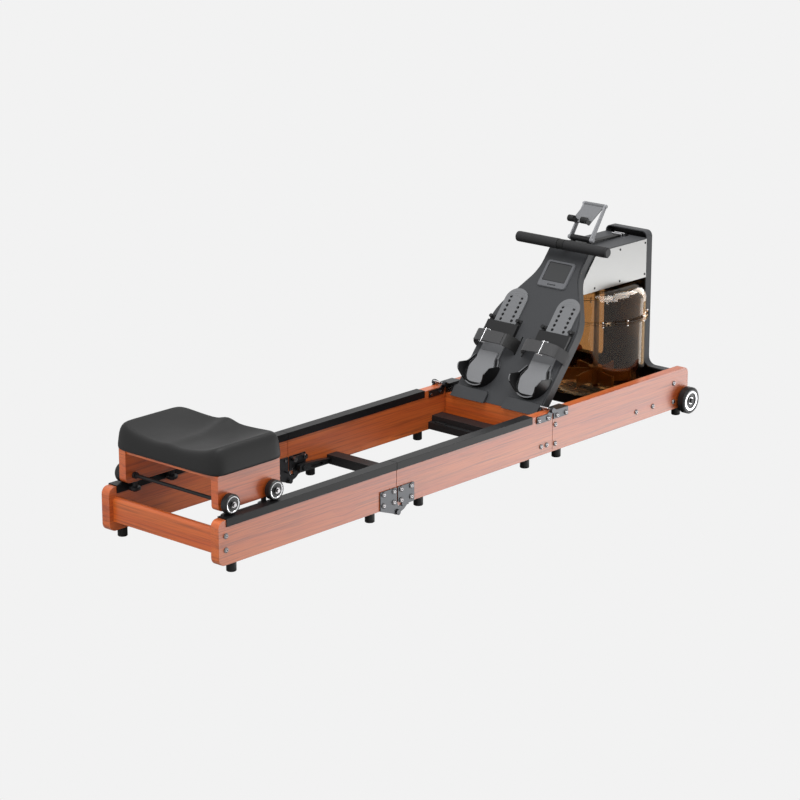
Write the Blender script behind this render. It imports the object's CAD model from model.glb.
import math

import bpy
from bpy.props import FloatProperty, IntProperty, PointerProperty, StringProperty
from mathutils import Matrix, Vector


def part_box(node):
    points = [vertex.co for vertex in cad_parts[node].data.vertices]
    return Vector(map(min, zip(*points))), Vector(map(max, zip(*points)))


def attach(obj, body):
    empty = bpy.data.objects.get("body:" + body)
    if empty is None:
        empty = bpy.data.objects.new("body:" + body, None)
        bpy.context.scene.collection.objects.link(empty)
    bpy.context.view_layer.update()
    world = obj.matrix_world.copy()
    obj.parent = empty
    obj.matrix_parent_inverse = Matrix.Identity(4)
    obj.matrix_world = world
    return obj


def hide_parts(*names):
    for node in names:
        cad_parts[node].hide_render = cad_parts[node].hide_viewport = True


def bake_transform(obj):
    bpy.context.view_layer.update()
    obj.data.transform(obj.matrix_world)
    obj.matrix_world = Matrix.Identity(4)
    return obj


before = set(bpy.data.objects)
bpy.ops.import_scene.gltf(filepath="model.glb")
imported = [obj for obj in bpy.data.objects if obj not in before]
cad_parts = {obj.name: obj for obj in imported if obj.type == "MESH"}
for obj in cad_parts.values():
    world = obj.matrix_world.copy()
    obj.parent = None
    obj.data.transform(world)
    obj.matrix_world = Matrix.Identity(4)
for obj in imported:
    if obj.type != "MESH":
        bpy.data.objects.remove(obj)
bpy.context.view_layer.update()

bl_info = {
    "name": "Water Rowing Machine",
    "version": (1, 0, 0),
    "blender": (4, 5, 0),
    "location": "View3D > Sidebar > Rower",
    "description": "Finishes, soft pieces and studio for a folding water rowing machine",
    "category": "Object",
}

# The middle of the machine's length, in metres from the rear ends of the rails
MID_X = 1.0115
# The footboard's slope, and its lower edge in millimetres from the rails' rear ends and over the floor
SLOPE = math.radians(50.2)
BOARD = (1344.0, 124.0)
# Directions on the footboard: up its slope, out from its face and across it
UP_SLOPE = Vector((math.cos(SLOPE), 0, math.sin(SLOPE)))
OFF_BOARD = Vector((-math.sin(SLOPE), 0, math.cos(SLOPE)))
ACROSS = Vector((0, 1, 0))


class RowerColours(bpy.types.PropertyGroup):
    """Colours of the finishes, as sRGB hex"""

    wood_line: StringProperty(
        name="Wood, grain lines", description="Dark lines of the grain", default="#5f2208", maxlen=7
    )
    wood_body: StringProperty(
        name="Wood, body",
        description="Most of the wood between its grain lines",
        default="#a84613",
        maxlen=7,
    )
    wood_light: StringProperty(
        name="Wood, light bands",
        description="Paler bands that run along the boards",
        default="#bb5d22",
        maxlen=7,
    )
    knot: StringProperty(
        name="Wood, knots", description="Small knots in the boards", default="#4a1c08", maxlen=7
    )
    black: StringProperty(
        name="Black paint",
        description="Powder-coated bars, brackets and handle bar",
        default="#19191a",
        maxlen=7,
    )
    track: StringProperty(
        name="Seat track", description="Anodised tracks that the seat rolls on", default="#131314", maxlen=7
    )
    zinc: StringProperty(
        name="Zinc-plated steel",
        description="Plated hinge plates, lever and drive plate",
        default="#48494b",
        maxlen=7,
    )
    bolt: StringProperty(
        name="Bolt heads", description="Bolt heads and axle ends", default="#807e7f", maxlen=7
    )
    steel: StringProperty(
        name="Brushed steel",
        description="Brushed side panels and impeller shaft",
        default="#979796",
        maxlen=7,
    )
    chrome: StringProperty(
        name="Chrome", description="Bright rings, wires and buckles", default="#e6e6e8", maxlen=7
    )
    cover: StringProperty(
        name="Tower grey", description="Painted back cover and top plate", default="#414244", maxlen=7
    )
    holder: StringProperty(
        name="Phone holder grey", description="Plate of the phone holder", default="#656668", maxlen=7
    )
    arm: StringProperty(
        name="Phone arms grey", description="Arms of the phone holder", default="#858689", maxlen=7
    )
    board: StringProperty(
        name="Footboard", description="Moulded footboard", default="#303133", maxlen=7
    )
    rest: StringProperty(
        name="Footrest plates", description="Perforated tongues of the footrests", default="#636466", maxlen=7
    )
    pad: StringProperty(
        name="Sole pads", description="Pads under the soles", default="#6f7072", maxlen=7
    )
    cup: StringProperty(
        name="Heel cups", description="Heel cups, peg rails and dark recesses", default="#0f0f10", maxlen=7
    )
    vinyl: StringProperty(
        name="Seat vinyl", description="Covering of the seat cushion", default="#1f1f1f", maxlen=7
    )
    rubber: StringProperty(
        name="Rubber", description="Feet, pads and rubber strips", default="#121212", maxlen=7
    )
    grip: StringProperty(
        name="Handle grips", description="Foam on the handle", default="#1a1a1b", maxlen=7
    )
    webbing: StringProperty(
        name="Webbing", description="Foot straps", default="#2e2e2f", maxlen=7
    )
    plastic: StringProperty(
        name="Black plastic", description="Rollers, wheels and small housings", default="#161617", maxlen=7
    )
    tank: StringProperty(
        name="Smoked tank", description="Tint of each wall of the tank", default="#c9a983", maxlen=7
    )
    amber: StringProperty(
        name="Impeller", description="Blades of the impeller", default="#6c4f2c", maxlen=7
    )
    screen: StringProperty(
        name="Monitor screen", description="Glass of the monitor", default="#292a2b", maxlen=7
    )
    bezel: StringProperty(
        name="Monitor bezel", description="Housing of the monitor", default="#56575a", maxlen=7
    )
    backdrop: StringProperty(
        name="Backdrop", description="Plain ground behind the machine", default="#f2f2f2", maxlen=7
    )


class RowerSizes(bpy.types.PropertyGroup):
    """Sizes of the pieces that are built here"""

    edge: FloatProperty(
        name="Edge softness",
        description="Radius that the shaders round sharp edges to",
        default=0.0010,
        min=0.0,
        max=0.004,
        precision=4,
        unit="LENGTH",
    )
    seat_h: FloatProperty(
        name="Cushion height",
        description="Height of the cushion's raised corners over its base",
        default=0.072,
        min=0.05,
        max=0.09,
        unit="LENGTH",
    )
    seat_sides: IntProperty(
        name="Cushion points round",
        description="Mesh points in each ring round the cushion",
        default=192,
        min=64,
        max=320,
    )
    strap_w: FloatProperty(
        name="Foot strap width",
        description="Width of the webbing over each foot",
        default=0.038,
        min=0.02,
        max=0.05,
        unit="LENGTH",
    )
    strap_t: FloatProperty(
        name="Foot strap thickness",
        description="Thickness of the webbing over each foot",
        default=0.002,
        min=0.001,
        max=0.003,
        precision=4,
        unit="LENGTH",
    )
    pull_w: FloatProperty(
        name="Pull strap width",
        description="Width of the strap that the handle pulls",
        default=0.022,
        min=0.01,
        max=0.024,
        unit="LENGTH",
    )


def colours():
    """The colours that the panel shows."""
    return bpy.context.scene.rower_colours


def sizes():
    """The sizes that the panel shows."""
    return bpy.context.scene.rower_sizes


def linear(hex_code):
    """sRGB hex to the linear values that shaders take."""
    values = [int(hex_code[i : i + 2], 16) / 255 for i in (1, 3, 5)]
    return tuple(c / 12.92 if c <= 0.04045 else ((c + 0.055) / 1.055) ** 2.4 for c in values) + (1.0,)


def add_node(tree, kind, settings=None, links=None):
    """A shader node with its settings, by attribute or socket, and its links. A ramp takes its stops."""
    node = tree.nodes.new(kind)
    for name, value in (settings or {}).items():
        if name == "stops":
            elements = node.color_ramp.elements
            while len(elements) < len(value):
                elements.new(0.5)
            for element, (place, colour) in zip(elements, value):
                element.position = place
                element.color = linear(colour) if isinstance(colour, str) else (colour,) * 3 + (1.0,)
        elif isinstance(name, str) and name in node.bl_rna.properties:
            setattr(node, name, value)
        else:
            node.inputs[name].default_value = value
    for name, source in (links or {}).items():
        tree.links.new(source, node.inputs[name])
    return node


def new_material(name):
    """A material with a principled shader on its output."""
    mat = bpy.data.materials.new(name)
    mat.use_nodes = True
    tree = mat.node_tree
    tree.nodes.clear()
    shader = add_node(tree, "ShaderNodeBsdfPrincipled")
    add_node(tree, "ShaderNodeOutputMaterial", links={"Surface": shader.outputs["BSDF"]})
    return mat, tree, shader


def set_values(shader, **values):
    """Sets sockets by name, with _ for each space in it."""
    for name, value in values.items():
        shader.inputs[name.replace("_", " ")].default_value = value


def soft_normal(tree, shader, height=None, strength=0.0, distance=0.0, radius=None):
    """Rounded edges for the shader, with an optional bump over them."""
    edge = add_node(tree, "ShaderNodeBevel", {"samples": 4, "Radius": radius or sizes().edge})
    normal = edge.outputs["Normal"]
    if height is not None:
        bump = add_node(
            tree,
            "ShaderNodeBump",
            {"Strength": strength, "Distance": distance},
            {"Height": height, "Normal": normal},
        )
        normal = bump.outputs["Normal"]
    tree.links.new(normal, shader.inputs["Normal"])


def metres(tree, scale):
    """Object coordinates in metres, stretched by a scale along each axis."""
    coords = add_node(tree, "ShaderNodeTexCoord")
    return add_node(
        tree, "ShaderNodeMapping", {"Scale": scale}, {"Vector": coords.outputs["Object"]}
    ).outputs["Vector"]


# Points round a turned ring
RING_STEPS = 72
# Angles in radians over which an edge of a ring or of a strap stays sharp
SHARP_RING, SHARP_STRAP = 0.6, 0.7


def mesh_object(name, verts, faces, material, smooth=True):
    """An object from its points and faces, in one material."""
    mesh = bpy.data.meshes.new(name)
    mesh.from_pydata([tuple(v) for v in verts], [], faces)
    mesh.validate()
    obj = bpy.data.objects.new(name, mesh)
    bpy.context.scene.collection.objects.link(obj)
    mesh.materials.append(material)
    mesh.shade_smooth() if smooth else mesh.shade_flat()
    return obj


def lathe(name, profile, material, origin, axis):
    """Turned piece from (radius, height) pairs, along axis from origin."""
    verts, faces = [], []
    n = len(profile)
    for i in range(RING_STEPS):
        a = 2 * math.pi * i / RING_STEPS
        verts += [(r * math.cos(a), r * math.sin(a), h) for r, h in profile]
    for i in range(RING_STEPS):
        j = (i + 1) % RING_STEPS
        for k in range(n - 1):
            faces.append((i * n + k, j * n + k, j * n + k + 1, i * n + k + 1))
    obj = mesh_object(name, verts, faces, material)
    turn = Vector((0, 0, 1)).rotation_difference(Vector(axis)).to_matrix().to_4x4()
    obj.data.transform(Matrix.Translation(origin) @ turn)
    obj.data.set_sharp_from_angle(angle=SHARP_RING)
    return obj


def band(name, stations, width, thick, material):
    """Flat strap through (point, side, up) stations, as one closed solid."""
    verts, faces = [], []
    corners = ((1, 1), (-1, 1), (-1, -1), (1, -1))
    for point, side, up in stations:
        verts += [point + side * (width / 2 * a) + up * (thick / 2 * b) for a, b in corners]
    for i in range(len(stations) - 1):
        for k in range(4):
            a, b = i * 4 + k, i * 4 + (k + 1) % 4
            faces.append((a, a + 4, b + 4, b))
    last = len(verts) - 4
    faces += [(0, 1, 2, 3), (last + 3, last + 2, last + 1, last)]
    obj = mesh_object(name, verts, faces, material)
    obj.data.set_sharp_from_angle(angle=SHARP_STRAP)
    return obj


def plate(name, outline, low, high, material):
    """Flat plate on the footboard from an outline of (s, y) millimetres, between two heights."""
    n = len(outline)
    verts = [on_board(s, y, h) for h in (low, high) for s, y in outline]
    faces = [tuple(range(n - 1, -1, -1)), tuple(range(n, 2 * n))]
    faces += [(i, (i + 1) % n, n + (i + 1) % n, n + i) for i in range(n)]
    return mesh_object(name, verts, faces, material, smooth=False)


def round_rect(s0, s1, width, radius, y0=0.0):
    """Outline of a rectangle with round corners, in millimetres on the footboard."""
    half, steps = width / 2 - radius, 6
    points = []
    corners = ((s1 - radius, half), (s0 + radius, half), (s0 + radius, -half), (s1 - radius, -half))
    for turn, (s, y) in enumerate(corners):
        for k in range(steps + 1):
            a = math.pi / 2 * (turn + k / steps)
            points.append((s + radius * math.cos(a), y0 + y + radius * math.sin(a)))
    return points


def paint(nodes, material):
    """Gives CAD nodes a material."""
    for name in nodes:
        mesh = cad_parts[name].data
        mesh.materials.clear()
        mesh.materials.append(material)


def paint_where(node, material, test):
    """Gives a further material to those faces of a CAD node whose centre and normal pass the test."""
    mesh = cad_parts[node].data
    mesh.materials.append(material)
    index = len(mesh.materials) - 1
    for face in mesh.polygons:
        if test(face.center, face.normal):
            face.material_index = index


def at(x, y, z):
    """A point of the frame, in metres, from millimetres measured from the rails' rear ends."""
    return Vector((x / 1000 - MID_X, y / 1000, z / 1000))


def on_board(s, y, h):
    """A point on the footboard: s up the slope, y across, h out from its face, in millimetres."""
    return at(BOARD[0], 0, BOARD[1]) + UP_SLOPE * (s / 1000) + ACROSS * (y / 1000) + OFF_BOARD * (h / 1000)


def board_place(point):
    """The footboard's own s, y and h of a point, in millimetres."""
    d = point - at(BOARD[0], 0, BOARD[1])
    return d.dot(UP_SLOPE) * 1000, d.y * 1000, d.dot(OFF_BOARD) * 1000


def middle(node):
    """The middle of a CAD node's box."""
    low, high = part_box(node)
    return (low + high) / 2


# Sockets of a Mix node for colours: its factor, its two colours and the result
FACTOR, FIRST, SECOND, RESULT = 0, 6, 7, 2


def wood(name, along):
    """Lacquered orange-brown softwood with straight grain lines and a few knots."""
    c = colours()
    mat, tree, shader = new_material(name)
    # One knot to about 320 mm of a board's length and 180 mm of its height
    cells = (3.1, 0.0, 5.5) if along == "X" else (0.0, 3.1, 5.5)
    knot = add_node(
        tree, "ShaderNodeTexVoronoi", {"Scale": 1.0, "Randomness": 0.9}, {"Vector": metres(tree, cells)}
    ).outputs["Distance"]
    # The grain lines swerve round a knot
    near_far = {"From Min": 0.0, "From Max": 0.22, "To Min": 1.1, "To Max": 0.0}
    swerve = add_node(
        tree, "ShaderNodeMapRange", {"interpolation_type": "SMOOTHERSTEP", **near_far}, {"Value": knot}
    )
    offset = add_node(tree, "ShaderNodeCombineXYZ", links={"Z": swerve.outputs["Result"]})

    def grain(length, layer, line, settings):
        """Noise drawn out along the board, in cycles a metre along it, across it and up it."""
        scale = (length, layer, line) if along == "X" else (layer, length, line)
        sources = {0: metres(tree, scale), 1: offset.outputs["Vector"]}
        place = add_node(tree, "ShaderNodeVectorMath", {"operation": "ADD"}, sources)
        return add_node(
            tree, "ShaderNodeTexNoise", {"Scale": 1.0, **settings}, {"Vector": place.outputs["Vector"]}
        ).outputs["Fac"]

    # Grain lines 6 mm apart, 330 mm long
    streaks = grain(3.0, 16.0, 165.0, {"Detail": 5.0, "Roughness": 0.66, "Distortion": 0.3})
    # Pores are about 0.2 mm wide in such wood. They are drawn 3 mm apart, so that they show
    pores = grain(9.0, 200.0, 330.0, {"Detail": 2.0, "Roughness": 0.6})
    # Pale bands 40 mm high, 770 mm long
    tone = grain(1.3, 7.0, 24.0, {"Detail": 3.0, "Roughness": 0.5})
    # Knots reach to 0.05 of their cell, 16 mm along the board and 9 mm up it
    body, line, pore, dot = (
        add_node(tree, "ShaderNodeValToRGB", {"stops": stops}, {"Fac": source}).outputs["Color"]
        for source, stops in (
            (tone, [(0.32, c.wood_body), (0.68, c.wood_light)]),
            (streaks, [(0.30, 0.68), (0.42, 0.32), (0.52, 0.0)]),
            (pores, [(0.30, 0.72), (0.50, 1.0)]),
            (knot, [(0.0, 0.85), (0.022, 0.6), (0.05, 0.0)]),
        )
    )
    colour = body
    for settings, links in (
        ({"blend_type": "MIX", SECOND: linear(c.wood_line)}, {FACTOR: line}),
        ({"blend_type": "MULTIPLY", FACTOR: 0.8}, {SECOND: pore}),
        ({"blend_type": "MIX", SECOND: linear(c.knot)}, {FACTOR: dot}),
    ):
        layer = add_node(tree, "ShaderNodeMix", {"data_type": "RGBA", **settings}, {FIRST: colour, **links})
        colour = layer.outputs[RESULT]
    tree.links.new(colour, shader.inputs["Base Color"])
    set_values(shader, Roughness=0.5, Coat_Weight=0.72, Coat_IOR=1.6, Coat_Roughness=0.36)
    soft_normal(tree, shader, pores, strength=0.10, distance=0.0003, radius=0.0018)
    return mat


def painted(name, hex_code, roughness, bump, grain=900.0, coat=0.0, specular=0.3):
    """Paint, plastic or rubber with a fine grit, in cycles a metre."""
    mat, tree, shader = new_material(name)
    set_values(
        shader,
        Base_Color=linear(hex_code),
        Roughness=roughness,
        Coat_Weight=coat,
        Specular_IOR_Level=specular,
    )
    # Real grit is about 0.2 mm wide. It is drawn 0.8 to 1.7 mm wide, so that it shows
    grit = {"Scale": grain, "Detail": 2.0, "Roughness": 0.5}
    texture = add_node(tree, "ShaderNodeTexNoise", grit, {"Vector": metres(tree, (1, 1, 1))})
    soft_normal(tree, shader, texture.outputs["Fac"], strength=bump, distance=0.0002)
    return mat


def brushed(name, hex_code):
    """Stainless sheet brushed along X."""
    mat, tree, shader = new_material(name)
    # Brush marks 55 mm long. They are about 0.1 mm wide, and are drawn 1.1 mm wide, so that they show
    marks = {"Scale": 1.0, "Detail": 3.0, "Roughness": 0.6}
    vector = metres(tree, (18.0, 900.0, 900.0))
    streaks = add_node(tree, "ShaderNodeTexNoise", marks, {"Vector": vector}).outputs["Fac"]
    rough = add_node(tree, "ShaderNodeMapRange", {"To Min": 0.36, "To Max": 0.5}, {"Value": streaks})
    tree.links.new(rough.outputs["Result"], shader.inputs["Roughness"])
    set_values(shader, Base_Color=linear(hex_code), Metallic=1.0, Anisotropic=0.5)
    soft_normal(tree, shader, streaks, strength=0.05, distance=0.0002, radius=0.0006)
    return mat


def metal(name, hex_code, roughness):
    """Plated or polished metal without a pattern."""
    mat, tree, shader = new_material(name)
    set_values(shader, Base_Color=linear(hex_code), Metallic=1.0, Roughness=roughness)
    soft_normal(tree, shader, radius=0.0005)
    return mat


def smoked(name, hex_code):
    """Clear plastic shell, smoked amber. Each wall tints what is behind it."""
    mat, _, shader = new_material(name)
    set_values(shader, Base_Color=linear(hex_code), Transmission_Weight=1.0, Roughness=0.02, IOR=1.36)
    return mat


def woven(name, hex_code):
    """Black webbing with a close weave."""
    mat, tree, shader = new_material(name)
    vector = metres(tree, (1, 1, 1))
    # Threads 1.8 mm apart: a wave takes 20 radians to a metre at scale 1
    waves = [
        add_node(
            tree,
            "ShaderNodeTexWave",
            {"bands_direction": way, "Scale": 170.0, "Distortion": 0.4},
            {"Vector": vector},
        ).outputs["Fac"]
        for way in ("X", "Y")
    ]
    weave = add_node(tree, "ShaderNodeMath", {"operation": "MULTIPLY"}, {0: waves[0], 1: waves[1]})
    set_values(shader, Base_Color=linear(hex_code), Roughness=0.7, Sheen_Weight=0.1)
    bump = add_node(
        tree, "ShaderNodeBump", {"Strength": 0.4, "Distance": 0.0005}, {"Height": weave.outputs["Value"]}
    )
    tree.links.new(bump.outputs["Normal"], shader.inputs["Normal"])
    return mat


def vinyl(name, hex_code):
    """Soft black seat covering with a fine leather grain and a broad sheen."""
    mat, tree, shader = new_material(name)
    # Leather grain with cells of 1.6 mm, and patches of more and less sheen, 60 mm wide
    cells = add_node(
        tree,
        "ShaderNodeTexVoronoi",
        {"feature": "SMOOTH_F1", "Scale": 620.0, "Smoothness": 0.6},
        {"Vector": metres(tree, (1, 1, 1))},
    )
    patches = {"Scale": 16.0, "Detail": 2.0, "Roughness": 0.5}
    sheen = add_node(tree, "ShaderNodeTexNoise", patches, {"Vector": metres(tree, (1, 1, 1))})
    rough = add_node(
        tree, "ShaderNodeMapRange", {"To Min": 0.46, "To Max": 0.54}, {"Value": sheen.outputs["Fac"]}
    )
    tree.links.new(rough.outputs["Result"], shader.inputs["Roughness"])
    set_values(shader, Base_Color=linear(hex_code), Specular_IOR_Level=0.17)
    bump = add_node(
        tree, "ShaderNodeBump", {"Strength": 0.08, "Distance": 0.0004}, {"Height": cells.outputs["Distance"]}
    )
    tree.links.new(bump.outputs["Normal"], shader.inputs["Normal"])
    return mat


# Every finish by its short name, filled by the first operator
MATERIALS = {}


class ROWER_OT_materials(bpy.types.Operator):
    """Makes every finish of the machine from the colours"""

    bl_idname = "rower.materials"
    bl_label = "Make finishes"

    def execute(self, context):
        c = context.scene.rower_colours
        MATERIALS.update(
            # Lacquered boards sawn along the machine: straight dark lines under an even satin coat
            wood_x=wood("lacquered_softwood_lengthwise", "X"),
            # The same boards across the machine, with the grain turned
            wood_y=wood("lacquered_softwood_crosswise", "Y"),
            # Black anodised aluminium, extruded: a smooth deep black with a faint sheen
            track=painted("black_anodised_aluminium", c.track, 0.34, bump=0.05, specular=0.13),
            # Powder-coated steel: an even satin black with a very fine texture
            black=painted("black_powder_coat", c.black, 0.45, bump=0.2),
            # Zinc-plated steel sheet: a flat mid grey without a clear reflection
            zinc=metal("zinc_plated_steel", c.zinc, 0.38),
            # Turned and plated bolt heads: small sharp glints on grey
            bolt=metal("plated_bolt_steel", c.bolt, 0.20),
            # Stainless sheet brushed lengthwise: a pale, broad, streaked glow
            steel=brushed("brushed_stainless_steel", c.steel),
            # Polished chrome plate: white where it meets the light and black beside it
            chrome=metal("polished_chrome", c.chrome, 0.15),
            # Textured grey paint on steel: matt, with a fine grit
            cover=painted("textured_grey_paint", c.cover, 0.5, bump=0.4, grain=700.0, specular=0.15),
            # Painted die-cast aluminium: plain light grey
            arm=painted("painted_cast_aluminium", c.arm, 0.5, bump=0.1),
            # Painted steel sheet: plain mid grey
            holder=painted("painted_steel_sheet", c.holder, 0.5, bump=0.1),
            # Moulded ABS: dark grey, with the fine grit of its mould
            board=painted("moulded_grey_abs", c.board, 0.5, bump=0.12, grain=1200.0),
            # Moulded plastic: plain grey, a little rougher than the board
            rest=painted("moulded_light_grey_plastic", c.rest, 0.55, bump=0.2),
            # Moulded rubber pad: dull pale grey
            pad=painted("moulded_grey_rubber", c.pad, 0.7, bump=0.3, grain=600.0),
            # Moulded plastic: near black with a soft gloss
            cup=painted("moulded_black_plastic", c.cup, 0.42, bump=0.1),
            # Stretched vinyl over foam: a broad soft sheen and a fine leather grain
            vinyl=vinyl("black_seat_vinyl", c.vinyl),
            # Moulded rubber: dull black
            rubber=painted("moulded_black_rubber", c.rubber, 0.55, bump=0.2),
            # Foam sleeve: dull charcoal with open pores
            grip=painted("grey_grip_foam", c.grip, 0.55, bump=0.3, grain=800.0),
            # Woven polyester: dull black with a close weave
            webbing=woven("black_webbing", c.webbing),
            # Moulded nylon: black with a satin gloss
            plastic=painted("moulded_black_nylon", c.plastic, 0.34, bump=0.06),
            # Blown polycarbonate, smoked amber: clear, browner with each wall
            tank=smoked("smoked_polycarbonate", c.tank),
            # Moulded amber plastic: dull brown behind the smoked wall
            amber=painted("moulded_amber_plastic", c.amber, 0.25, bump=0.02),
            # Glass over a blank display: dark, smooth and slightly glossy
            screen=painted("screen_glass", c.screen, 0.15, bump=0.0, coat=0.4),
            # Moulded housing: plain grey
            bezel=painted("moulded_housing_plastic", c.bezel, 0.45, bump=0.1),
        )
        return {"FINISHED"}


class ROWER_OT_frame(bpy.types.Operator):
    """Finishes the wooden frame, tracks and feet"""

    bl_idname = "rower.frame"
    bl_label = "Wooden frame"

    def execute(self, context):
        paint(["front_rails", "middle_rails", "rear_rails"], MATERIALS["wood_x"])
        paint(["step_crossboard", "rear_crossboard"], MATERIALS["wood_y"])
        paint(["rear_tracks", "middle_tracks"], MATERIALS["track"])
        paint(["middle_crossbars", "front_brackets"], MATERIALS["black"])
        paint(["rear_feet", "middle_feet", "front_feet"], MATERIALS["rubber"])
        return {"FINISHED"}


class ROWER_OT_hardware(bpy.types.Operator):
    """Finishes bolts, hinges, bails and the lock lever"""

    bl_idname = "rower.hardware"
    bl_label = "Hardware"

    def execute(self, context):
        paint(["rear_hinges", "middle_hinges", "saddle_hinges", "fold_lock_lever"], MATERIALS["zinc"])
        paint(["rear_bolts", "middle_bolts", "front_bolts"], MATERIALS["bolt"])
        paint(["hinge_bail_left", "hinge_bail_right"], MATERIALS["chrome"])
        return {"FINISHED"}


# The cushion's outline: its power, where 2 is a circle, and how far its points gather at the corners
SEAT_POWER = 11
SEAT_GATHER = math.radians(10)
# The cushion's top: how late its sides rise, and in metres its dips' height and what their ends rise
SIDE_POWER = 2.8
DIP_H = 0.044
FRONT_RISE, REAR_RISE = 0.019, 0.002
# The ridge between the dips: its height, what it gains towards the front, and its share of the width
RIDGE_H, RIDGE_GAIN, RIDGE_HALF = 0.007, 0.003, 0.17
# Rings up the cushion's side, as the inset in metres and the share of the height there
SEAT_TOP_IN = 0.020
SEAT_SIDE = [(0.0035, 0.0), (0.0010, 0.03), (0.0, 0.10), (0.0, 0.2), (0.0014, 0.42), (0.0030, 0.62),
             (0.0050, 0.76), (0.0078, 0.87), (0.0112, 0.94), (0.0154, 0.982), (SEAT_TOP_IN, 1.0)]
# Rings over the cushion's top, and how they crowd towards its edge
SEAT_RINGS, SEAT_CROWD = 22, 0.9


def seat_edge(a):
    """Unit outline of the cushion, a square with round corners, at an angle."""
    b = a + SEAT_GATHER * math.sin(4 * a)
    c, s = math.cos(b), math.sin(b)
    d = (abs(c) ** SEAT_POWER + abs(s) ** SEAT_POWER) ** (1 / SEAT_POWER)
    return c / d, s / d


def seat_top(u, v):
    """Height of the cushion's top over its base: raised sides, two dips and a low ridge."""
    rise = abs(v) ** SIDE_POWER
    dip = DIP_H + FRONT_RISE * max(u, 0) ** 2 + REAR_RISE * max(-u, 0) ** 2
    ridge = (RIDGE_H + RIDGE_GAIN * u) * math.exp(-((v / RIDGE_HALF) ** 2))
    return sizes().seat_h * rise + dip * (1 - rise) + ridge


class ROWER_OT_seat(bpy.types.Operator):
    """Builds the moulded cushion and finishes the carriage"""

    bl_idname = "rower.seat"
    bl_label = "Seat"

    def execute(self, context):
        low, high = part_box("seat_cushion")
        length, width = high.x - low.x, high.y - low.y
        centre = Vector(((low.x + high.x) / 2, 0, low.z))
        n = sizes().seat_sides
        edge = [seat_edge(2 * math.pi * i / n) for i in range(n)]
        rings = [
            [(u * (length / 2 - inset), v * (width / 2 - inset), seat_top(u, v) * share) for u, v in edge]
            for inset, share in SEAT_SIDE
        ]
        half_x, half_y = length / 2 - SEAT_TOP_IN, width / 2 - SEAT_TOP_IN
        for i in range(1, SEAT_RINGS):
            k = (1 - i / SEAT_RINGS) ** SEAT_CROWD
            rings.append([(u * k * half_x, v * k * half_y, seat_top(u * k, v * k)) for u, v in edge])
        verts = [centre + Vector(p) for ring in rings for p in ring]
        faces = [
            (k * n + i, k * n + (i + 1) % n, (k + 1) * n + (i + 1) % n, (k + 1) * n + i)
            for k in range(len(rings) - 1)
            for i in range(n)
        ]
        verts.append(centre + Vector((0, 0, seat_top(0, 0))))
        last = len(rings) * n - n
        faces += [(last + i, last + (i + 1) % n, len(verts) - 1) for i in range(n)]
        faces.append(tuple(range(n - 1, -1, -1)))
        cushion = mesh_object("seat_cushion_cover", verts, faces, MATERIALS["vinyl"])
        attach(cushion, "seat_carriage")
        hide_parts("seat_cushion")
        paint(["carriage_frame"], MATERIALS["wood_x"])
        guides = [f"guide_wheel_{end}_{side}" for end in ("rear", "front") for side in ("left", "right")]
        paint(guides, MATERIALS["plastic"])
        return {"FINISHED"}


# Profiles of the bright rings, as (radius, height over the place that they are set at), in metres
ROLLER_RING = [(0.0186, -0.003), (0.0186, -0.0012), (0.0196, 0.0), (0.0212, 0.0004), (0.0222, -0.0004)]
WHEEL_RING = [(0.0236, -0.004), (0.0236, -0.001), (0.0248, 0.0005), (0.0300, 0.0005), (0.0312, -0.0002)]
HUB_RING = [(0.0080, -0.002), (0.0080, 0.0), (0.0086, 0.0004), (0.0108, 0.0004), (0.0114, -0.0004)]
# How deep under a transport wheel's widest face its two rings are set, in metres
WHEEL_RING_IN, HUB_RING_IN = 0.001, 0.002


class ROWER_OT_wheels(bpy.types.Operator):
    """Finishes rollers and transport wheels and adds their bright rings"""

    bl_idname = "rower.wheels"
    bl_label = "Wheels"

    def execute(self, context):
        rollers = (("rollers_rear", "seat_rollers_rear"), ("rollers_front", "seat_rollers_front"))
        paint([node for _, node in rollers], MATERIALS["plastic"])
        paint(["transport_wheel_left", "transport_wheel_right"], MATERIALS["plastic"])
        paint(["roller_axles"], MATERIALS["black"])
        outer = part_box("seat_rollers_rear")[1].y
        # The axles' ends are bright outside the rollers
        axle_end = outer - 0.001
        paint_where("roller_axles", MATERIALS["bolt"], lambda p, n: abs(p.y) > axle_end)
        for body, node in rollers:
            centre = middle(node)
            for side, name in ((1, "left"), (-1, "right")):
                place = (centre.x, side * outer, centre.z)
                ring = lathe(f"{node}_ring_{name}", ROLLER_RING, MATERIALS["chrome"], place, (0, side, 0))
                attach(ring, body)
        for name, side in (("left", 1), ("right", -1)):
            node = f"transport_wheel_{name}"
            low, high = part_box(node)
            centre = middle(node)
            face = high.y if side > 0 else low.y
            for part, profile, depth in (
                ("ring", WHEEL_RING, WHEEL_RING_IN),
                ("hub_ring", HUB_RING, HUB_RING_IN),
            ):
                place = (centre.x, face - side * depth, centre.z)
                ring = lathe(f"{node}_{part}", profile, MATERIALS["chrome"], place, (0, side, 0))
                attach(ring, f"wheel_{name}")
        # The wheels' own bolt heads, which lie near the wheels' faces, are black
        head = abs(face) - 0.002
        paint_where("front_bolts", MATERIALS["cup"], lambda p, n: abs(p.y) > head)
        return {"FINISHED"}


# A foot's middle from the machine's, in millimetres
FOOT_Y = 99.0
# A foot strap in millimetres: its lower edge up the board, its arch's height, and how far it reaches from the
# foot's middle to its inner slot and to the board's outer edge
STRAP_S = 171.0
STRAP_RISE = 45.0
STRAP_IN = 84.5
STRAP_OUT = 69.0
# How square the arch is, the points along it, and how deep an end goes into the board, in metres
ARCH_POWER = 6
ARCH_STEPS = 48
STRAP_END = 0.012
# Lift of a layer that lies on the strap, in millimetres
SECOND_LAYER = 2.4


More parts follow.
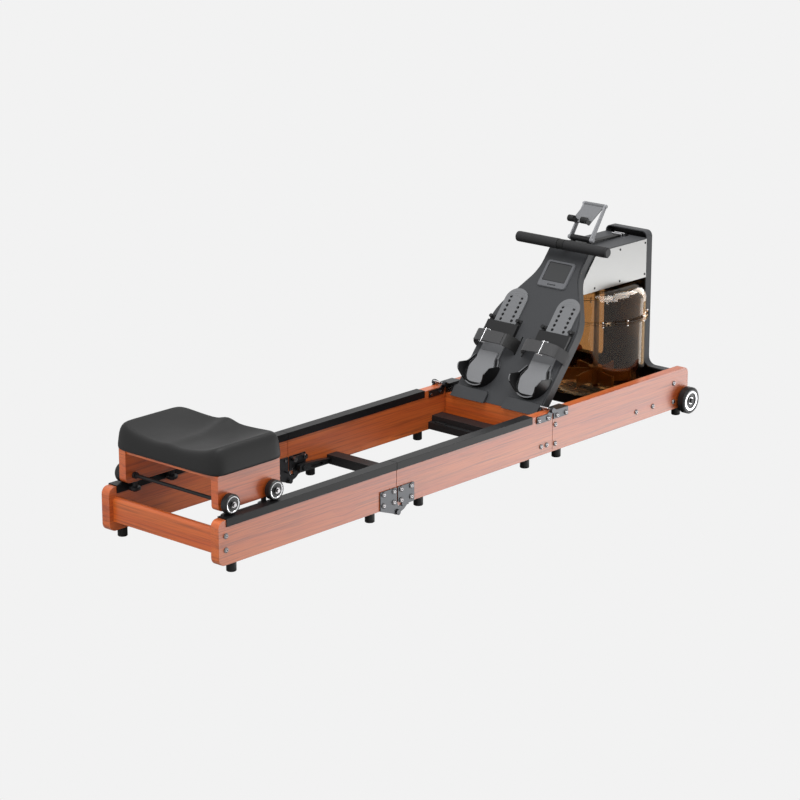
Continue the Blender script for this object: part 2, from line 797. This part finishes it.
def foot_strap(name, side, start, end, lift, width, material):
    """Part of a foot strap, arched from its slot near the centre to the board's outer edge."""

    def place(t):
        u = 2 * t - 1
        y = STRAP_IN - t * (STRAP_IN + STRAP_OUT)
        return y, STRAP_RISE * (1 - abs(u) ** ARCH_POWER)

    stations = []
    # Share of the path on each side of a point that its direction is taken from
    near = 0.004
    s = STRAP_S + sizes().strap_w * 1000 / 2
    for i in range(ARCH_STEPS + 1):
        t = (1 - math.cos(math.pi * (start + (end - start) * i / ARCH_STEPS))) / 2
        (y0, h0), (y1, h1) = place(max(t - near, 0)), place(min(t + near, 1))
        y, h = place(t)
        way = (ACROSS * (-side * (y1 - y0)) + OFF_BOARD * (h1 - h0)).normalized()
        up = way.cross(UP_SLOPE) * side
        if up.dot(OFF_BOARD) < 0:
            up = -up
        point = on_board(s, side * (FOOT_Y - y), h) + up * (lift / 1000)
        stations.append((point, UP_SLOPE, up))
    for at_end, down in ((0, start == 0), (-1, end == 1)):
        if down:
            point, across, up = stations[at_end]
            foot = (point - OFF_BOARD * STRAP_END, across, up)
            stations.insert(0, foot) if at_end == 0 else stations.append(foot)
    strap = band(name, stations, width, sizes().strap_t, material)
    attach(strap, "front_frame")
    return strap


class ROWER_OT_footboard(bpy.types.Operator):
    """Finishes the footboard, footrests and monitor, and builds the foot straps"""

    bl_idname = "rower.footboard"
    bl_label = "Footboard"

    def execute(self, context):
        width = sizes().strap_w
        paint(["footboard"], MATERIALS["board"])
        paint(["foot_bridges"], MATERIALS["plastic"])
        paint(["heel_pad_left", "heel_pad_right"], MATERIALS["pad"])
        paint(["monitor"], MATERIALS["bezel"])
        paint(["strap_buckles"], MATERIALS["chrome"])
        for side, name in ((1, "left"), (-1, "right")):
            rest = f"heel_rest_{name}"
            paint([rest], MATERIALS["rest"])
            paint_where(rest, MATERIALS["cup"], self.is_wall)
            self.floor_of_cup(side, name)
            self.ridges(side, name)
            # Under each tongue lies the dark rail of its peg
            groove = round_rect(212, 366, 60, 6, side * FOOT_Y)
            rail = plate(f"peg_rail_{name}", groove, 0.05, 0.2, MATERIALS["cup"])
            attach(rail, "front_frame")
            strap = foot_strap(f"foot_strap_{name}", side, 0, 1, 0, width, MATERIALS["webbing"])
            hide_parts("foot_straps")
            # The loose end, as shares of the strap's path
            tail = (0.30, 0.78) if side > 0 else (0.42, 0.80)
            foot_strap(
                f"foot_strap_tail_{name}", side, *tail, SECOND_LAYER, width - 0.001, MATERIALS["webbing"]
            )
        # The sleeve over the first quarter of the left strap
        foot_strap("foot_strap_keeper", 1, 0.0, 0.26, SECOND_LAYER, width + 0.002, MATERIALS["rubber"])
        self.screen()
        return {"FINISHED"}

    @staticmethod
    def is_wall(centre, normal):
        """Whether a face of a heel rest is steep, low on the board and over the cup's floor."""
        s, _, h = board_place(centre)
        return s < 142 and h > 4.8 and abs(normal.dot(OFF_BOARD)) < 0.8

    @staticmethod
    def floor_of_cup(side, name):
        """Black floor of the heel cup, under the sole pad."""
        # The round heel's middle, radius and opening, and the straight end's place and half width
        centre, radius, opening = 98.0, 56.2, math.radians(74)
        end, half = 139.0, 41.0
        steps = 32
        outline = []
        for i in range(steps + 1):
            a = opening + (2 * math.pi - 2 * opening) * i / steps
            outline.append((centre + radius * math.cos(a), side * FOOT_Y + radius * math.sin(a)))
        outline += [(end, side * FOOT_Y - half), (end, side * FOOT_Y + half)]
        floor = plate(f"heel_floor_{name}", outline, 4.32, 4.6, MATERIALS["cup"])
        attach(floor, f"heel_rest_{name}")

    @staticmethod
    def ridges(side, name):
        """Three curved ridges across the round end of a tongue."""
        verts, faces = [], []
        radius, highest, pitch, steps = 62.0, 366.0, 7, 16
        # A ridge's section, as its place along the tongue and its height over the board
        section = ((-1.4, 4.2), (0, 5.1), (1.4, 4.2))
        for k, reach in enumerate((24, 30, 32)):
            for i in range(steps + 1):
                y = reach * (2 * i / steps - 1)
                s = highest - k * pitch - radius + math.sqrt(radius**2 - y**2)
                base = len(verts)
                verts += [on_board(s + d, side * FOOT_Y + y, h) for d, h in section]
                if i:
                    faces += [(base - 3, base, base + 1, base - 2), (base - 2, base + 1, base + 2, base - 1)]
        ridge = mesh_object(f"tongue_ridges_{name}", verts, faces, MATERIALS["rest"])
        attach(ridge, f"heel_rest_{name}")

    @staticmethod
    def screen():
        """Dark surround and glass in the monitor's recess, standing a little over its floor."""
        surround = plate("monitor_surround", round_rect(418.3, 480.7, 85.4, 4), 3.0, 3.15, MATERIALS["cup"])
        glass = plate("monitor_screen", round_rect(420, 479, 82, 3), 3.1, 3.6, MATERIALS["screen"])
        for piece in (surround, glass):
            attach(piece, "front_frame")


class ROWER_OT_tower(bpy.types.Operator):
    """Finishes the tower, handle and phone holder, and builds the pull strap"""

    bl_idname = "rower.tower"
    bl_label = "Tower"

    def execute(self, context):
        paint(["back_cover", "top_plate"], MATERIALS["cover"])
        paint(["side_panels"], MATERIALS["steel"])
        paint(["tower_hardware"], MATERIALS["chrome"])
        paint(["drive_plate", "bearing_housing"], MATERIALS["zinc"])
        paint(["recoil_housing", "strap_drum", "strap_idler", "lid_seal", "phone_base"], MATERIALS["plastic"])
        paint(["handle_bar"], MATERIALS["black"])
        paint(["handle_grips"], MATERIALS["grip"])
        paint(["phone_cradle"], MATERIALS["holder"])
        paint(["phone_arms"], MATERIALS["arm"])
        # Panel screws stand up to 10 mm off the side panels, higher up than the wire guides
        low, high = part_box("side_panels")[1].y, 0.41
        paint_where(
            "tower_hardware", MATERIALS["cup"], lambda p, n: low < abs(p.y) < low + 0.01 and p.z > high
        )
        # The cover's inside faces the user, behind its rim
        behind_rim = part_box("back_cover")[0].x + 0.005
        paint_where("back_cover", MATERIALS["cup"], lambda p, n: n.x < -0.5 and p.x > behind_rim)
        # The cradle's two rubber rollers lie nearest to the user
        roller_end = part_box("phone_cradle")[0].x + 0.024
        paint_where("phone_cradle", MATERIALS["rubber"], lambda p, n: p.x < roller_end)
        self.pull_strap()
        return {"FINISHED"}

    @staticmethod
    def pull_strap():
        """Webbing in two lengths: a loop round the handle's sleeve to the idler, and on to the drum."""
        idler, handle, drum = middle("strap_idler"), middle("handle_bar"), middle("strap_drum")
        thick, width = 0.0014, sizes().pull_w
        side = ACROSS
        # Radii to the webbing's middle, round the handle's sleeve and over the idler
        sleeve = 0.0149
        over = 0.0094 + thick / 2
        run_z = idler.z + over
        # The loop, 200 degrees round the sleeve
        stations = []
        loop_steps = 12
        for i in range(loop_steps + 1):
            a = math.radians(250 - 200 * i / loop_steps)
            up = Vector((math.cos(a), 0, math.sin(a)))
            stations.append((handle + up * sleeve, side, up))
        # The run, which falls a few millimetres over its first 70 and is then nearly level to the idler
        first = handle + Vector((0.040, 0, 0))
        first.z = run_z + 0.0050
        second = Vector((handle.x + 0.070, 0, run_z + 0.0016))
        last = Vector((idler.x, 0, run_z))
        run_steps = 30
        points = [first, second] + [second.lerp(last, i / run_steps) for i in range(1, run_steps + 1)]
        before = stations[-1][0]
        for point, after in zip(points, points[1:] + [last + Vector((0.01, 0, 0))]):
            way = (after - before).normalized()
            stations.append((point, side, way.cross(-side)))
            before = point
        run, stations = stations, stations[-1:]
        # The end over the idler, a quarter turn in steps of 15 degrees
        for i in range(1, 7):
            a = math.radians(90 - 15 * i)
            up = Vector((math.cos(a), 0, math.sin(a)))
            stations.append((idler + up * over, side, up))
        # The drop to the drum's side, where the webbing has turned by 90 degrees
        start = stations[-1][0]
        end = Vector((drum.x, 0.0312, drum.z))
        bend = [start, Vector((start.x, 0, drum.z)), end + Vector((0.060, 0, 0)), end]

        def drop(t):
            a = 1 - t
            return bend[0] * a**3 + bend[1] * (3 * a * a * t) + bend[2] * (3 * a * t * t) + bend[3] * t**3

        drop_steps, near, turned = 28, 0.02, 0.7
        for i in range(1, drop_steps + 1):
            t = i / drop_steps
            way = (drop(min(t + near, 1)) - drop(t - near)).normalized()
            a = math.radians(90 * min(1, t / turned))
            flat = Vector((0, math.cos(a), -math.sin(a)))
            flat = (flat - way * flat.dot(way)).normalized()
            stations.append((drop(t), flat, way.cross(-flat)))
        for name, path, rests in (
            ("pull_strap_webbing", run, ["strap_idler", "handle_bar"]),
            ("pull_strap_drum_end", stations, ["strap_idler", "strap_drum"]),
        ):
            strap = band(name, path, width, thick, MATERIALS["rubber"])
            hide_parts("pull_strap")
            if path is run:
                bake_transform(strap)
            else:
                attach(strap, "front_frame")


class ROWER_OT_tank(bpy.types.Operator):
    """Finishes the tank and the impeller"""

    bl_idname = "rower.tank"
    bl_label = "Tank"

    def execute(self, context):
        paint(["tank_vessel", "tank_lid"], MATERIALS["tank"])
        paint(["impeller"], MATERIALS["amber"])
        # The shaft, narrower than the blades' hub and over it
        hub, shaft_r, shaft_z = middle("impeller"), 0.014, 0.15
        paint_where(
            "impeller",
            MATERIALS["steel"],
            lambda p, n: math.hypot(p.x - hub.x, p.y) < shaft_r and p.z > shaft_z,
        )
        return {"FINISHED"}


def area_light(name, place, target, size, watts):
    """White rectangular lamp that faces a point."""
    data = bpy.data.lights.new(name, "AREA")
    data.shape = "RECTANGLE"
    data.size, data.size_y = size
    data.energy = watts
    obj = bpy.data.objects.new(name, data)
    bpy.context.scene.collection.objects.link(obj)
    obj.location = place
    obj.rotation_euler = (Vector(target) - Vector(place)).to_track_quat("-Z", "Y").to_euler()
    obj.visible_camera = False
    return obj


def tank_shells(name):
    """The two shells of the tank as a collection, which light linking takes."""
    shells = bpy.data.collections.new(name)
    for node in ("tank_vessel", "tank_lid"):
        shells.objects.link(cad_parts[node])
    return shells


# The camera, solved from the photograph: focal length and width in pixels, sensor in millimetres, place in
# metres and direction in degrees
FOCAL_PX, PHOTO_PX, SENSOR = 2718, 800, 36
CAMERA = (-4.5321 - MID_X, -4.9306, 2.3623)
YAW, PITCH = 47.93, 16.18
# The floor cards: their height and their two long edges, in metres
CARD_Z, CARD_NEAR, CARD_FAR = -0.002, -0.236, 1.6


class ROWER_OT_studio(bpy.types.Operator):
    """Sets the camera, lights and plain backdrop"""

    bl_idname = "rower.studio"
    bl_label = "Studio"

    def execute(self, context):
        scene = context.scene
        scene.view_settings.view_transform = "Standard"
        world = bpy.data.worlds.new("studio")
        world.use_nodes = True
        tree = world.node_tree
        tree.nodes.clear()
        path = add_node(tree, "ShaderNodeLightPath")
        coords = add_node(tree, "ShaderNodeTexCoord")
        split = add_node(tree, "ShaderNodeSeparateXYZ", links={"Vector": coords.outputs["Generated"]})
        height = add_node(
            tree, "ShaderNodeMapRange", {"From Min": -1.0, "From Max": 1.0}, {"Value": split.outputs["Z"]}
        )
        # From the ground straight below to the sky straight above
        greys = [(0.0, 0.14), (0.45, 0.15), (0.60, 0.20), (0.75, 0.50), (1.0, 0.90)]
        sky = add_node(tree, "ShaderNodeValToRGB", {"stops": greys}, {"Fac": height.outputs["Result"]})
        ambient = add_node(tree, "ShaderNodeBackground", {"Strength": 0.8}, {"Color": sky.outputs["Color"]})
        backdrop = linear(colours().backdrop)
        plain = add_node(tree, "ShaderNodeBackground", {"Color": backdrop, "Strength": 1.0})
        # What the camera, reflections and the tank show is the plain backdrop
        seen = path.outputs["Is Camera Ray"]
        for ray in ("Is Glossy Ray", "Is Transmission Ray"):
            seen = add_node(
                tree, "ShaderNodeMath", {"operation": "MAXIMUM"}, {0: seen, 1: path.outputs[ray]}
            ).outputs["Value"]
        both = add_node(
            tree,
            "ShaderNodeMixShader",
            links={0: seen, 1: ambient.outputs["Background"], 2: plain.outputs["Background"]},
        )
        add_node(tree, "ShaderNodeOutputWorld", links={"Surface": both.outputs["Shader"]})
        scene.world = world

        camera = bpy.data.cameras.new("camera")
        camera.lens = SENSOR * FOCAL_PX / PHOTO_PX
        camera.sensor_width = SENSOR
        yaw, pitch = math.radians(YAW), math.radians(PITCH)
        ahead = Vector((math.sin(yaw) * math.cos(pitch), math.cos(yaw) * math.cos(pitch), -math.sin(pitch)))
        obj = bpy.data.objects.new("camera", camera)
        obj.location = CAMERA
        obj.rotation_euler = ahead.to_track_quat("-Z", "Y").to_euler()
        scene.collection.objects.link(obj)
        scene.camera = obj

        lights = [
            area_light("side_glow", (3.4, -2.6, -1.25), (0.6, -0.2, 0.1), (3.0, 1.6), 64),
            area_light("side_fill", (0.2, -4.0, 1.7), (0.2, 0.0, 0.2), (3.5, 0.6), 32),
            area_light("top_soft", (-0.2, -0.5, 3.1), (0.1, 0.0, 0.2), (3.2, 1.8), 105),
            area_light("rear_fill", (-3.8, -0.9, 1.5), (0.0, 0.0, 0.2), (2.0, 2.0), 100),
            area_light("right_wall", (4.4, -0.4, -0.5), (0.8, 0.0, 0.2), (2.0, 1.8), 16),
        ]
        side_glow, rear_fill = lights[0], lights[3]
        # On the tank side_glow would show as a hard rectangle
        unlit = tank_shells("tank_shells")
        for entry in unlit.collection_objects:
            entry.light_linking.link_state = "EXCLUDE"
        side_glow.light_linking.receiver_collection = unlit
        rear_fill.visible_glossy = False
        # The tank has two lamps of its own
        lit = tank_shells("tank_only")
        for name, place, size, watts in (
            ("tank_top", (1.3, -0.9, 2.0), (4.4, 1.1), 120),
            ("tank_side", (4.2, 0.6, 1.6), (2.0, 2.5), 60),
        ):
            light = area_light(name, place, (0.81, 0.0, 0.35), size, watts)
            light.light_linking.receiver_collection = lit
            lights.append(light)
        # The cards light the machine's undersides, pale under the seat's end and dark under the tank
        for name, x0, x1, shade in (("pale", -1.3, 0.12, "#929292"), ("dark", 0.12, 2.4, "#3a3a3a")):
            corners = ((x0, CARD_NEAR), (x1, CARD_NEAR), (x1, CARD_FAR), (x0, CARD_FAR))
            floor = mesh_object(
                f"studio_floor_{name}",
                [(x, y, CARD_Z) for x, y in corners],
                [(0, 1, 2, 3)],
                painted(f"floor_card_{name}", shade, 0.8, bump=0.0),
            )
            floor.visible_camera = floor.visible_transmission = False
        return {"FINISHED"}


class ROWER_PT_panel(bpy.types.Panel):
    """Sizes and colours of the machine"""

    bl_idname = "ROWER_PT_panel"
    bl_label = "Water Rowing Machine"
    bl_space_type = "VIEW_3D"
    bl_region_type = "UI"
    bl_category = "Rower"

    def draw(self, context):
        for group in (context.scene.rower_sizes, context.scene.rower_colours):
            for name in group.__annotations__:
                self.layout.prop(group, name)
        for operator in OPERATORS:
            self.layout.operator(operator.bl_idname)


OPERATORS = (
    ROWER_OT_materials,
    ROWER_OT_frame,
    ROWER_OT_hardware,
    ROWER_OT_seat,
    ROWER_OT_wheels,
    ROWER_OT_footboard,
    ROWER_OT_tower,
    ROWER_OT_tank,
    ROWER_OT_studio,
)
CLASSES = (RowerColours, RowerSizes) + OPERATORS + (ROWER_PT_panel,)


def register():
    for cls in CLASSES:
        bpy.utils.register_class(cls)
    bpy.types.Scene.rower_colours = PointerProperty(type=RowerColours)
    bpy.types.Scene.rower_sizes = PointerProperty(type=RowerSizes)


def unregister():
    del bpy.types.Scene.rower_colours
    del bpy.types.Scene.rower_sizes
    for cls in reversed(CLASSES):
        bpy.utils.unregister_class(cls)


def main():
    """Builds the scene and notes the size of the CAD and of what is dressed."""
    register()
    for operator in OPERATORS:
        group, name = operator.bl_idname.split(".")
        if getattr(getattr(bpy.ops, group), name)() != {"FINISHED"}:
            raise RuntimeError(f"{operator.bl_idname} did not finish")


if __name__ == "__main__":
    main()
